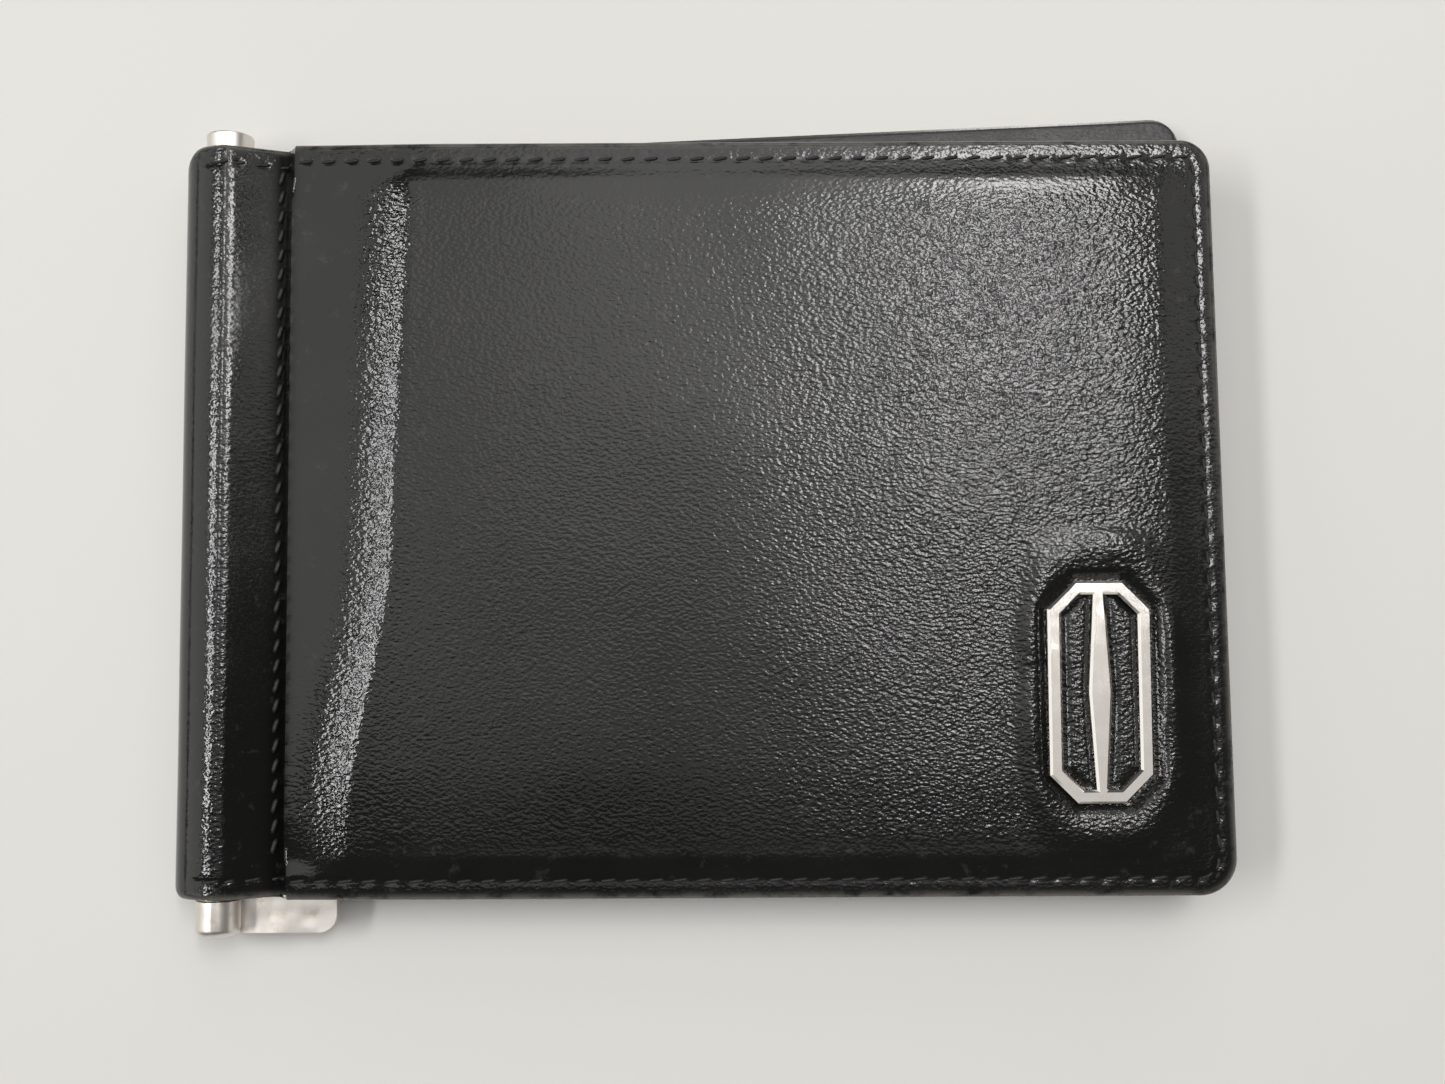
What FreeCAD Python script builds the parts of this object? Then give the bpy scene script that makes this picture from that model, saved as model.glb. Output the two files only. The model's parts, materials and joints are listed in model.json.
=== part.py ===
"""Bifold leather note wallet with a sprung metal money clip in its spine, lying closed.

Millimetres. The wallet lies on the plane z = 0 with its back cover down. +X runs from the spine to the
free edges, +Y from the wallet's bottom edge to its top edge. The origin is under the middle of the front
cover. Heights in a cover are written as w, the distance from the plane midway between the two covers.
"""
import FreeCAD
import Part
import math
import os

Vector = FreeCAD.Vector

# ---- the whole wallet
COVER_WIDTH = 111.0
COVER_HEIGHT = 80.0
THICKNESS = 10.0
BACK_SKEW_DEG = 2.35  # the soft spine lets the back cover lie turned by this much under the front cover
BACK_SHIFT_Y = 0.4

# ---- layers of each cover, from the outside in
LEATHER = 1.1
PADDING = 0.8
LINING = 0.4
PANEL = 0.6
POCKET = 0.5
BORDER_WIDTH = 3.2  # the unpadded border that carries the stitches
BORDER_STEP = 0.5  # how far the border lies below the padded face
TURNED_EDGE = 4.0  # width of the leather that is folded in round a cover's free edges
LAYER_INSET = 0.3  # each inner layer stops this far inside the leather's edge
SHEET_INSET = 0.5

# ---- layers of the spine, round the tube
SPINE_RADIUS = 4.4
STIFFENER = 0.5
CHANNEL = 0.5  # the strip that holds the tube in the spine
CHANNEL_HALF_DEG = 60.0
SPINE_HALF_DEG = 25.0  # the stiff back of the spine reaches this far above and below the tube's axis
FOLD_GAP_DEG = 1.5
HINGE_OFFSET = 1.1  # each fold turns about a line this far left of the tube's axis and above or below it

# ---- the clip's hardware
TUBE_RADIUS = 2.25
TUBE_BORE = 1.75
SHAFT_RADIUS = 1.5
PILOT_RADIUS = 0.7
KNUCKLE_RADIUS = 2.3
CAP_RADIUS = 2.5
PLATE_THICKNESS = 0.9
PLATE_REACH = 12.3  # from the tube's axis to the plate's free edge
PLATE_SLOT = 4.8  # from the tube's axis to the arm's near edge
PLATE_DROP = 1.5  # from the tube's axis down to the middle of the plate
PLATE_FOOT_CORNER = 1.9
PLATE_TIP_CORNER = 3.0
PLATE_INSET_TOP = 3.0  # the arm ends this far below the wallet's top edge
CRADLE_DEG = (-125, -35)  # the part of the knuckle that the plate's foot is rolled round
CLIP_OUT_BOTTOM = 4.2
CAP_OUT_TOP = 2.1
CAP_HEAD = 1.8
CAP_PLUG = 4.5
KNUCKLE_PIN_UP = 2.2  # from the knuckle's end up to its cross pin
RUN_CLEARANCE = 0.05
PIN_RADIUS = 0.4
GROOVE_RADIUS = 1.0
BUSHING_FLANGE = 0.2
SPRING_RADIUS = 1.25
SPRING_WIRE = 0.2
SPRING_TURNS = 13

# ---- where things lie along the tube, measured up from its lower end
BUSHING_END = 6.0
GROOVE_UP = 9.5
SHOULDER_UP = 14.0
ANCHOR_UP = 33.0
ANCHOR_LENGTH = 4.0

# ---- card pockets: name and height of each mouth, from the sheet nearest the lining inwards
POCKET_MOUTHS = [("top", 26.0), ("middle", 14.0), ("bottom", 2.0)]

# ---- stitches
STITCH_PITCH = 2.35
STITCH_LENGTH = 1.75
STITCH_RADIUS = 0.25
STITCH_INSET = 2.0
STITCH_TURN = 3.0  # radius of the row where it rounds a corner
EDGE_ROW_START = 13.0  # from the tube's axis to the start of the row along a cover's edge
SEAM_ROW_INSET = 3.0
FLAP_REACH = 3.0  # from the seam to the flap's free edge

# ---- emblem
EMBLEM_HALF_WIDTH = 5.4
EMBLEM_HALF_HEIGHT = 11.5
EMBLEM_CORNER = 2.9
EMBLEM_STROKE = 1.4
EMBLEM_SUNK = 0.5
EMBLEM_THICKNESS = 1.0
EMBLEM_BEVEL = 0.25
RECESS_MARGIN = 0.3
PRONG_RADIUS = 0.5
PRONG_LENGTH = 1.2
RETAINER_RADIUS = 1.6
RETAINER_THICKNESS = 0.3

# ---- places worked out from the sizes above
MID_Z = THICKNESS / 2
LEFT, RIGHT = -COVER_WIDTH / 2, COVER_WIDTH / 2
BOTTOM, TOP = -COVER_HEIGHT / 2, COVER_HEIGHT / 2
PAST = 5.0  # how far a blank runs past the outline that trims it
AXIS_X = LEFT + SPINE_RADIUS
SEAM_X = AXIS_X + 6.5
SEAM_HALF = 1.7
POCKET_X = AXIS_X + 17.0
HINGE_X = AXIS_X - HINGE_OFFSET
FACE_W = MID_Z
BORDER_W = FACE_W - BORDER_STEP
LINING_W = FACE_W - LEATHER - PADDING
PANEL_W = LINING_W - LINING
FRONT_GROOVE_W = 2.4  # the front leather is drawn down hard beside the tube
CROWN_HALF = 1.4  # the front leather starts to fall this far past the tube's axis
CROWN_DROP = 0.23
BACK_GROOVE_W = 4.25
INNER_SPINE_RADIUS = SPINE_RADIUS - LEATHER
CHANNEL_RADIUS = TUBE_RADIUS + RUN_CLEARANCE
CORNERS = {"spine_bottom": 1.3, "free_bottom": 4.0, "free_top": 3.2, "spine_top": 2.6}
EMBLEM_X = RIGHT - 13.7
EMBLEM_Y = BOTTOM + 21.2
EMBLEM_BASE_Z = THICKNESS - EMBLEM_SUNK

TUBE_LOW = BOTTOM - 0.1
TUBE_HIGH = TOP + CAP_OUT_TOP - CAP_HEAD
KNUCKLE_LOW = BOTTOM - CLIP_OUT_BOTTOM
KNUCKLE_HIGH = TUBE_LOW - BUSHING_FLANGE - RUN_CLEARANCE
SHAFT_LOW = KNUCKLE_LOW + 1.0
BUSHING_HIGH = TUBE_LOW + BUSHING_END
GROOVE_Y = TUBE_LOW + GROOVE_UP
SHOULDER_Y = TUBE_LOW + SHOULDER_UP
ANCHOR_LOW = TUBE_LOW + ANCHOR_UP
ANCHOR_HIGH = ANCHOR_LOW + ANCHOR_LENGTH
PILOT_HIGH = ANCHOR_HIGH - 1.0

FRONT, BACK = 1, -1


# ================================================================ helpers
def height(side, w):
    """z of a surface that lies w from the middle plane, in the front or the back cover."""
    return MID_Z + side * w


def at_angle(radius, degrees):
    """Point on a circle round the tube's axis, at y = 0. 0 degrees is +X and 90 is up."""
    a = math.radians(degrees)
    return Vector(AXIS_X + radius * math.cos(a), 0, MID_Z + radius * math.sin(a))


def arc_round_axis(radius, start_deg, end_deg):
    angles = (start_deg, (start_deg + end_deg) / 2, end_deg)
    return Part.Arc(*[at_angle(radius, a) for a in angles]).toShape()


def along_y(face, low, high):
    """Solid made by running a flat face in the XZ plane from y = low to y = high."""
    face.translate(Vector(0, low, 0))
    return face.extrude(Vector(0, high - low, 0))


def upright(wire, low_z, high_z):
    """Solid made by running a flat XY outline from z = low_z to z = high_z."""
    face = Part.Face(wire)
    face.translate(Vector(0, 0, low_z))
    return face.extrude(Vector(0, 0, high_z - low_z))


def ring_sector(inner, outer, start_deg, end_deg, low, high):
    """Part of a sleeve round the tube's axis, between two angles."""
    edges = [
        arc_round_axis(outer, start_deg, end_deg),
        Part.makeLine(at_angle(outer, end_deg), at_angle(inner, end_deg)),
        arc_round_axis(inner, end_deg, start_deg),
        Part.makeLine(at_angle(inner, start_deg), at_angle(outer, start_deg)),
    ]
    return along_y(Part.Face(Part.Wire(edges)), low, high)


def rod(radius, low, high):
    """Cylinder on the tube's axis."""
    return Part.makeCylinder(radius, high - low, Vector(AXIS_X, low, MID_Z), Vector(0, 1, 0))


def sleeve(outer, inner, low, high):
    return rod(outer, low, high).cut(rod(inner, low, high))


def rim(shape, y):
    """The edges that lie round an end of a turned piece."""
    return [e for e in shape.Edges if all(abs(v.Point.y - y) < 0.001 for v in e.Vertexes)]


def rounded_outline(x0, y0, x1, y1, radii):
    """Rectangle with a radius of its own at each corner, from the bottom left one round to the top left."""
    corners = [(x0, y0, 1, 1), (x1, y0, -1, 1), (x1, y1, -1, -1), (x0, y1, 1, -1)]
    bends = []
    for number, ((x, y, sx, sy), r) in enumerate(zip(corners, radii)):
        k = r * (1 - math.sqrt(0.5))
        points = [Vector(x, y + sy * r, 0), Vector(x + sx * k, y + sy * k, 0), Vector(x + sx * r, y, 0)]
        bends.append(points if number % 2 == 0 else points[::-1])
    edges = []
    for number, points in enumerate(bends):
        if radii[number] > 0:
            edges.append(Part.Arc(*points).toShape())
        edges.append(Part.makeLine(points[2], bends[(number + 1) % 4][0]))
    return Part.Wire(edges)


def skewed(side, shape):
    """The back cover's sheets lie turned about the middle of the back fold; the front cover's don't."""
    if side == BACK:
        shape.rotate(Vector(HINGE_X, 0, 0), Vector(0, 0, 1), BACK_SKEW_DEG)
        shape.translate(Vector(0, BACK_SHIFT_Y, 0))
    return shape


def cover_prism(side, inset=0.0):
    """Tall block with the cover's outline, used to trim layers to it."""
    radii = [max(r - inset, 0.4) for r in CORNERS.values()]
    left = LEFT if side == FRONT else LEFT - PAST
    wire = rounded_outline(left, BOTTOM + inset, RIGHT - inset, TOP - inset, radii)
    return skewed(side, upright(wire, -PAST, THICKNESS + PAST))


def save(name, shape):
    """Writes one sub-part, as one solid or as a group of separate solids."""
    solids = shape.Solids
    if not solids or not all(s.isValid() and s.Volume > 0 for s in solids):
        raise ValueError(name + " isn't a valid solid")
    shape = solids[0] if len(solids) == 1 else Part.makeCompound(solids)
    shape.exportStep("parts/" + name + ".step")
    print("%-26s solids %3d  volume %9.2f mm3" % (name, len(solids), sum(s.Volume for s in solids)))


# ================================================================ cover sections
def outer_line(side):
    """(x, w) of the leather's outside, from over the tube, through the seam's groove, to the free edge."""
    if side == FRONT:
        groove, shoulder = FRONT_GROOVE_W, (AXIS_X + CROWN_HALF, SPINE_RADIUS - CROWN_DROP)
    else:
        groove, shoulder = BACK_GROOVE_W, (SEAM_X - SEAM_HALF, SPINE_RADIUS - 0.05)
    flat = STITCH_RADIUS + 0.1
    return [
        (AXIS_X, SPINE_RADIUS),
        shoulder,
        (SEAM_X - flat, groove),
        (SEAM_X + flat, groove),
        (SEAM_X + SEAM_HALF, FACE_W - PADDING),
        (POCKET_X, FACE_W),
        (RIGHT + PAST, FACE_W),
    ]


def lowered(line, depth):
    return [(x, w - depth) for x, w in line]


def part_of(line, start, stop):
    """The stretch of a line of (x, w) between two x, with its ends worked out."""
    def w_at(x):
        for (x0, w0), (x1, w1) in zip(line, line[1:]):
            if x0 <= x <= x1:
                return w0 + (w1 - w0) * (x - x0) / (x1 - x0)
        raise ValueError("x is off the line")

    return [(start, w_at(start))] + [(x, w) for x, w in line if start < x < stop] + [(stop, w_at(stop))]


def lining_line(side):
    """(x, w) of the lining's outside: close under the leather at the seam, then flat under the padding."""
    return lowered(outer_line(side)[:5], LEATHER) + [(RIGHT + PAST, LINING_W)]


def cover_layer(side, outer, inner, inset):
    """Sheet between two lines of (x, w), trimmed to the cover's outline."""
    points = [Vector(x, 0, height(side, w)) for x, w in outer + inner[::-1]]
    section = Part.Face(Part.makePolygon(points + points[:1]))
    return along_y(section, BOTTOM - PAST, TOP + 2 * PAST).common(cover_prism(side, inset))


def make_padding(side):
    """Soft sheet between leather and lining, inside the leather's turned-in border."""
    slope_end = POCKET_X - 1.0
    outside = [(slope_end, FACE_W - LEATHER - 0.1), (POCKET_X, FACE_W - LEATHER), (RIGHT + PAST, FACE_W - LEATHER)]
    inside = [(slope_end, LINING_W), (RIGHT + PAST, LINING_W)]
    return cover_layer(side, outside, inside, TURNED_EDGE)


def make_leather(side, padding):
    """Outer leather of one cover, from over the tube to the free edge."""
    leather = cover_layer(side, outer_line(side), lining_line(side), 0.0)
    low, high = sorted((height(side, BORDER_W), height(side, FACE_W + 1.0)))
    span = Part.makeBox(COVER_WIDTH + 4 * PAST, COVER_HEIGHT + 4 * PAST, high - low,
                        Vector(LEFT - 2 * PAST, BOTTOM - 2 * PAST, low))
    border = span.cut(cover_prism(side, BORDER_WIDTH))
    return leather.cut(border).cut(padding)


def make_fold(side):
    """Leather that bends between a cover and the stiff back of the spine."""
    start, stop = side * 90, side * (180 - SPINE_HALF_DEG - FOLD_GAP_DEG)
    blank = ring_sector(INNER_SPINE_RADIUS, SPINE_RADIUS, start, stop, BOTTOM - PAST, TOP + PAST)
    return blank.common(cover_prism(FRONT))


def make_lining(side):
    return cover_layer(side, lining_line(side), lowered(lining_line(side), LINING), LAYER_INSET)


def make_channel_flap(side):
    """Edge of the channel strip that is sewn down along the seam."""
    outside = part_of(lowered(lining_line(side), LINING), AXIS_X + TUBE_RADIUS, SEAM_X + FLAP_REACH)
    return cover_layer(side, outside, lowered(outside, POCKET), 1.0)


def pocket_sheet(side, outer_w, thickness, mouth):
    """One flat sheet of the pocket stack. Its free mouth is its top edge."""
    free = CORNERS["free_bottom"] - SHEET_INSET
    wire = rounded_outline(POCKET_X, BOTTOM + SHEET_INSET, RIGHT - SHEET_INSET, mouth, [0.6, free, 0.6, 0.6])
    low, high = sorted((height(side, outer_w), height(side, outer_w - thickness)))
    return skewed(side, upright(wire, low, high))


def make_pockets(side):
    """The full-height panel, open towards the spine, and the three card pockets on it."""
    panel = pocket_sheet(side, PANEL_W, PANEL, TOP - SHEET_INSET)
    sheets = {"pocket_panel": panel.common(cover_prism(side, SHEET_INSET))}
    w = PANEL_W - PANEL
    for name, mouth in POCKET_MOUTHS:
        sheets["card_pocket_" + name] = pocket_sheet(side, w, POCKET, mouth)
        w -= POCKET
    return sheets


# ================================================================ stitches
def stitch(centre, along):
    """One thread length lying on a surface."""
    return Part.makeCylinder(STITCH_RADIUS, STITCH_LENGTH, centre - along * (STITCH_LENGTH / 2), along)


def stitch_row(start, end):
    """Stitches evenly spaced from start to end."""
    span = end - start
    count = max(1, round(span.Length / STITCH_PITCH))
    step = span / count
    along = Vector(step).normalize()
    return [stitch(start + step * (i + 0.5), along) for i in range(count)]


def corner_stitches(centre, radius, sign):
    """Three stitches round a corner of the border."""
    found = []
    for degrees in (15, 45, 75):
        a = math.radians(degrees)
        place = centre + Vector(radius * math.cos(a), sign * radius * math.sin(a), 0)
        found.append(stitch(place, Vector(-math.sin(a), sign * math.cos(a), 0)))
    return found


def edge_stitches(side):
    """Stitches on the border round a cover's three free sides."""
    z = height(side, BORDER_W + STITCH_RADIUS)
    start, free, turn = AXIS_X + EDGE_ROW_START, RIGHT - STITCH_INSET, STITCH_TURN
    rows = []
    for sign in (-1, 1):
        y = sign * (TOP - STITCH_INSET)
        rows += stitch_row(Vector(start, y, z), Vector(free - turn, y, z))
        rows += corner_stitches(Vector(free - turn, y - sign * turn, z), turn, sign)
    reach = TOP - STITCH_INSET - turn
    rows += stitch_row(Vector(free, -reach, z), Vector(free, reach, z))
    return skewed(side, Part.makeCompound(rows))


def seam_stitches(side):
    """Stitches down the groove of the seam beside the tube."""
    groove = FRONT_GROOVE_W if side == FRONT else BACK_GROOVE_W
    z = height(side, groove + STITCH_RADIUS)
    reach = TOP - SEAM_ROW_INSET
    return Part.makeCompound(stitch_row(Vector(SEAM_X, -reach, z), Vector(SEAM_X, reach, z)))


def pocket_stitches(side):
    """Stitches that close the spine side of the card pockets, stepping from sheet to sheet."""
    x = POCKET_X + STITCH_INSET
    rows = []
    w = PANEL_W - PANEL - STITCH_RADIUS
    lows = [mouth + 1.0 for _, mouth in POCKET_MOUTHS[1:]] + [BOTTOM + 2.0]
    for (_, mouth), low in zip(POCKET_MOUTHS, lows):
        w -= POCKET
        z = height(side, w)
        rows += stitch_row(Vector(x, low, z), Vector(x, mouth - 0.5, z))
    return skewed(side, Part.makeCompound(rows))


# ================================================================ spine
def spine_layer(inner, outer, inset):
    """Curved layer round the tube between the two folds."""
    start = 180 - SPINE_HALF_DEG
    blank = ring_sector(inner, outer, start, 360 - start, BOTTOM - PAST, TOP + PAST)
    return blank.common(cover_prism(FRONT, inset))


def make_spine():
    stiffener_radius = INNER_SPINE_RADIUS - STIFFENER
    strip_outer = CHANNEL_RADIUS + CHANNEL
    return {
        "spine_leather": spine_layer(INNER_SPINE_RADIUS, SPINE_RADIUS, 0.0),
        "spine_stiffener": spine_layer(stiffener_radius, INNER_SPINE_RADIUS, 1.0),
        "spine_lining": spine_layer(CHANNEL_RADIUS, stiffener_radius, LAYER_INSET),
        "channel_strip": ring_sector(
            CHANNEL_RADIUS, strip_outer, -CHANNEL_HALF_DEG, CHANNEL_HALF_DEG, BOTTOM + 1.0, TOP - 1.0
        ),
    }


# ================================================================ clip hardware
def make_retaining_pin():
    """Pin across the tube that rides in the shaft's groove and keeps the shaft in."""
    offset = GROOVE_RADIUS + RUN_CLEARANCE + PIN_RADIUS
    half = math.sqrt(TUBE_RADIUS ** 2 - (offset + PIN_RADIUS) ** 2) - RUN_CLEARANCE
    start = Vector(AXIS_X - offset, GROOVE_Y, MID_Z - half)
    return Part.makeCylinder(PIN_RADIUS, 2 * half, start, Vector(0, 0, 1))


def make_knuckle_pin():
    """Cross pin that locks the knuckle to the shaft."""
    half = KNUCKLE_RADIUS - 0.25
    start = Vector(AXIS_X - half, KNUCKLE_LOW + KNUCKLE_PIN_UP, MID_Z)
    return Part.makeCylinder(PIN_RADIUS, 2 * half, start, Vector(1, 0, 0))


def make_end_cap():
    """Plug that closes the tube's top end. Its head shows above the leather."""
    head = rod(CAP_RADIUS, TUBE_HIGH, TOP + CAP_OUT_TOP)
    head = head.makeFillet(0.2, rim(head, TOP + CAP_OUT_TOP))
    return head.fuse(rod(TUBE_BORE, TUBE_HIGH - CAP_PLUG, TUBE_HIGH)).removeSplitter()


def make_bushing():
    """Bronze sleeve that the shaft turns in, with a thin flange between knuckle and tube."""
    bore = SHAFT_RADIUS + RUN_CLEARANCE
    flange = sleeve(TUBE_RADIUS, bore, TUBE_LOW - BUSHING_FLANGE, TUBE_LOW)
    return flange.fuse(sleeve(TUBE_BORE, bore, TUBE_LOW, BUSHING_HIGH)).removeSplitter()


def make_shaft(knuckle_pin):
    """Turned shaft with a groove for its retaining pin and a thin pilot inside the spring."""
    shaft = rod(SHAFT_RADIUS, SHAFT_LOW, SHOULDER_Y).fuse(rod(PILOT_RADIUS, SHOULDER_Y, PILOT_HIGH))
    groove_half = PIN_RADIUS + RUN_CLEARANCE
    groove = sleeve(SHAFT_RADIUS + 1, GROOVE_RADIUS, GROOVE_Y - groove_half, GROOVE_Y + groove_half)
    return shaft.removeSplitter().cut(groove).cut(knuckle_pin)


def make_spring_anchor():
    """Plug staked in the tube. It holds the spring's far end and steadies the shaft's pilot."""
    return sleeve(TUBE_BORE, PILOT_RADIUS + RUN_CLEARANCE, ANCHOR_LOW, ANCHOR_HIGH)


def make_spring():
    """Torsion spring round the pilot, between the shaft's shoulder and the anchor."""
    length = ANCHOR_LOW - SHOULDER_Y - 2 * SPRING_WIRE
    helix = Part.makeHelix(length / SPRING_TURNS, length, SPRING_RADIUS)
    profile = Part.Wire(Part.makeCircle(SPRING_WIRE, Vector(SPRING_RADIUS, 0, 0), Vector(0, 1, 0)))
    coil = Part.Wire(helix.Edges).makePipeShell([profile], True, True)
    coil.rotate(Vector(0, 0, 0), Vector(1, 0, 0), -90)
    coil.translate(Vector(AXIS_X, SHOULDER_Y + SPRING_WIRE, MID_Z))
    return coil


def make_knuckle(knuckle_pin):
    """Turned barrel at the clip's foot, pinned to the shaft."""
    barrel = rod(KNUCKLE_RADIUS, KNUCKLE_LOW, KNUCKLE_HIGH)
    barrel = barrel.makeFillet(0.8, rim(barrel, KNUCKLE_LOW))
    barrel = barrel.makeFillet(0.15, rim(barrel, KNUCKLE_HIGH))
    return barrel.cut(rod(SHAFT_RADIUS, SHAFT_LOW, KNUCKLE_HIGH)).cut(knuckle_pin)


def make_plate():
    """Spring-steel plate: a foot that cradles the knuckle and a long arm inside the wallet."""
    high_z = MID_Z - PLATE_DROP + PLATE_THICKNESS / 2
    low_z = high_z - PLATE_THICKNESS
    slot_x = AXIS_X + PLATE_SLOT
    arm_radii = [0.0, PLATE_FOOT_CORNER, PLATE_TIP_CORNER, PLATE_TIP_CORNER]
    arm_outline = rounded_outline(slot_x, KNUCKLE_LOW, AXIS_X + PLATE_REACH, TOP - PLATE_INSET_TOP, arm_radii)
    foot_outline = rounded_outline(AXIS_X + 1.2, KNUCKLE_LOW, slot_x, KNUCKLE_HIGH, [0.0] * 4)
    rolled = KNUCKLE_RADIUS + PLATE_THICKNESS
    cradle = ring_sector(KNUCKLE_RADIUS, rolled, *CRADLE_DEG, KNUCKLE_LOW + PLATE_THICKNESS, KNUCKLE_HIGH)
    plate = upright(arm_outline, low_z, high_z).fuse([upright(foot_outline, low_z, high_z), cradle])
    return plate.removeSplitter().cut(rod(KNUCKLE_RADIUS, KNUCKLE_LOW - 1, KNUCKLE_HIGH + 1))


def make_clip():
    knuckle_pin = make_knuckle_pin()
    retaining_pin = make_retaining_pin()
    return {
        "clip_tube": sleeve(TUBE_RADIUS, TUBE_BORE, TUBE_LOW, TUBE_HIGH).cut(retaining_pin),
        "tube_end_cap": make_end_cap(),
        "shaft_bushing": make_bushing(),
        "spring_anchor": make_spring_anchor(),
        "torsion_spring": make_spring(),
        "retaining_pin": retaining_pin,
        "clip_shaft": make_shaft(knuckle_pin),
        "clip_knuckle": make_knuckle(knuckle_pin),
        "knuckle_pin": knuckle_pin,
        "clip_plate": make_plate(),
    }


# ================================================================ emblem
def emblem_polygon(points):
    places = [Vector(EMBLEM_X + x, EMBLEM_Y + y, 0) for x, y in points]
    return Part.makePolygon(places + places[:1])


def emblem_outline(grow):
    """Tall octagon, grown or shrunk by the same amount on every side."""
    w, h = EMBLEM_HALF_WIDTH + grow, EMBLEM_HALF_HEIGHT + grow
    c = EMBLEM_CORNER + grow * (2 - math.sqrt(2))
    return emblem_polygon([
        (w, h - c), (w - c, h), (c - w, h), (-w, h - c), (-w, c - h), (c - w, -h), (w - c, -h), (w, c - h)
    ])


def prongs(radius, low, high):
    """Two round pegs in line with the emblem's spindle."""
    offset = EMBLEM_HALF_HEIGHT - EMBLEM_STROKE / 2
    places = [Vector(EMBLEM_X, EMBLEM_Y + sign * offset, low) for sign in (-1, 1)]
    return Part.makeCompound([Part.makeCylinder(radius, high - low, p) for p in places])


def make_emblem():
    """Plain open octagon with a slim spindle down its middle, and two prongs on its back."""
    top_z = EMBLEM_BASE_Z + EMBLEM_THICKNESS
    frame = upright(emblem_outline(0.0), EMBLEM_BASE_Z, top_z)
    frame = frame.cut(upright(emblem_outline(-EMBLEM_STROKE), EMBLEM_BASE_Z, top_z))
    reach = EMBLEM_HALF_HEIGHT - EMBLEM_STROKE / 2
    waist, tip = 1.2, 0.55
    spindle = emblem_polygon([(tip, reach), (-tip, reach), (-waist, 0), (-tip, -reach), (tip, -reach), (waist, 0)])
    face = frame.fuse(upright(spindle, EMBLEM_BASE_Z, top_z)).removeSplitter()
    face = face.makeChamfer(EMBLEM_BEVEL, [e for e in face.Edges if e.BoundBox.ZMin > top_z - 0.01])
    return face.fuse(prongs(PRONG_RADIUS, EMBLEM_BASE_Z - PRONG_LENGTH, EMBLEM_BASE_Z).Solids).removeSplitter()


def make_retainers():
    """Push-on washers that hold the prongs behind the leather."""
    high = THICKNESS - LEATHER
    low = high - RETAINER_THICKNESS
    return prongs(RETAINER_RADIUS, low, high).cut(prongs(PRONG_RADIUS, low, high))


# ================================================================ build
def make_cover(side):
    """All the sheets and stitches of one cover."""
    padding = make_padding(side)
    leather = make_leather(side, padding)
    if side == FRONT:
        holes = prongs(PRONG_RADIUS, EMBLEM_BASE_Z - PRONG_LENGTH, THICKNESS)
        recess = upright(emblem_outline(RECESS_MARGIN), EMBLEM_BASE_Z, THICKNESS + 1)
        leather = leather.cut(holes).cut(recess)
        padding = padding.cut(holes).cut(make_retainers())
    return {
        "cover_leather": leather,
        "fold_leather": make_fold(side),
        "padding": padding,
        "lining": make_lining(side),
        "channel_flap": make_channel_flap(side),
        **make_pockets(side),
        "edge_stitches": edge_stitches(side),
        "seam_stitches": seam_stitches(side),
        "pocket_stitches": pocket_stitches(side),
    }


def main():
    os.makedirs("parts", exist_ok=True)
    for side, prefix in ((FRONT, "front_"), (BACK, "back_")):
        for name, shape in make_cover(side).items():
            save(prefix + name, shape)
    for group in (make_spine(), make_clip()):
        for name, shape in group.items():
            save(name, shape)
    save("emblem", make_emblem())
    save("emblem_retainers", make_retainers())


main()
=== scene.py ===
"""Looks of a black leather note wallet with a sprung money clip in its spine, lying closed on a pale table.

Shapes are worked out in millimetres, in the frame's axes, and made into metres where a mesh is built.
A cover's heights are w, the distance from the plane midway between the two covers. Its leather is laid out
over s and y: s runs from the spine's outermost line over the tube to the free edge, y along the spine.
"""

import json
import math
from functools import partial

import bmesh
import bpy
import numpy as np
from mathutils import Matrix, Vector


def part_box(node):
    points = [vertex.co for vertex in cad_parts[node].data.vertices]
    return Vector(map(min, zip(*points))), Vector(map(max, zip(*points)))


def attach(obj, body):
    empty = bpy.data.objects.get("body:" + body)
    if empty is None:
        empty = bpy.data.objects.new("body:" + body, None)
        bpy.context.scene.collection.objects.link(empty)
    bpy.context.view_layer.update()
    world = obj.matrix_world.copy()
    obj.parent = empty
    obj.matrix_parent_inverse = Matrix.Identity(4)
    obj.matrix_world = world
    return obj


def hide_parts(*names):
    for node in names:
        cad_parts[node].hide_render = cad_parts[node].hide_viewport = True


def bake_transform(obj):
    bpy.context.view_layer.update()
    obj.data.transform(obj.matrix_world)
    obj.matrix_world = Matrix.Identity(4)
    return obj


MM = 0.001
FRONT, BACK = 1, -1
SIDE_NAMES = {FRONT: "front", BACK: "back"}
FAR = 99.0  # a distance that is past everything on the wallet

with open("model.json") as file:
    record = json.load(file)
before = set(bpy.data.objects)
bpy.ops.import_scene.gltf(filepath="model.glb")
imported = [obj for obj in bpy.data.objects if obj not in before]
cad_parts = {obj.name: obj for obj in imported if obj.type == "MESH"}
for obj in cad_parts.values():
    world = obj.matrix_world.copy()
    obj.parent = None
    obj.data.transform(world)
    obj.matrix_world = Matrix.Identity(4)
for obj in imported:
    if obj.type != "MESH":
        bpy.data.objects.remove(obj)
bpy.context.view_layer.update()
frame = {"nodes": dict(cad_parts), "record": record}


def box(node):
    """Lowest and highest corner of a CAD node, in millimetres."""
    low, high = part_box(node)
    return np.array(low) / MM, np.array(high) / MM


def middle_x(node):
    low, high = box(node)
    return (low[0] + high[0]) / 2


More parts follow.
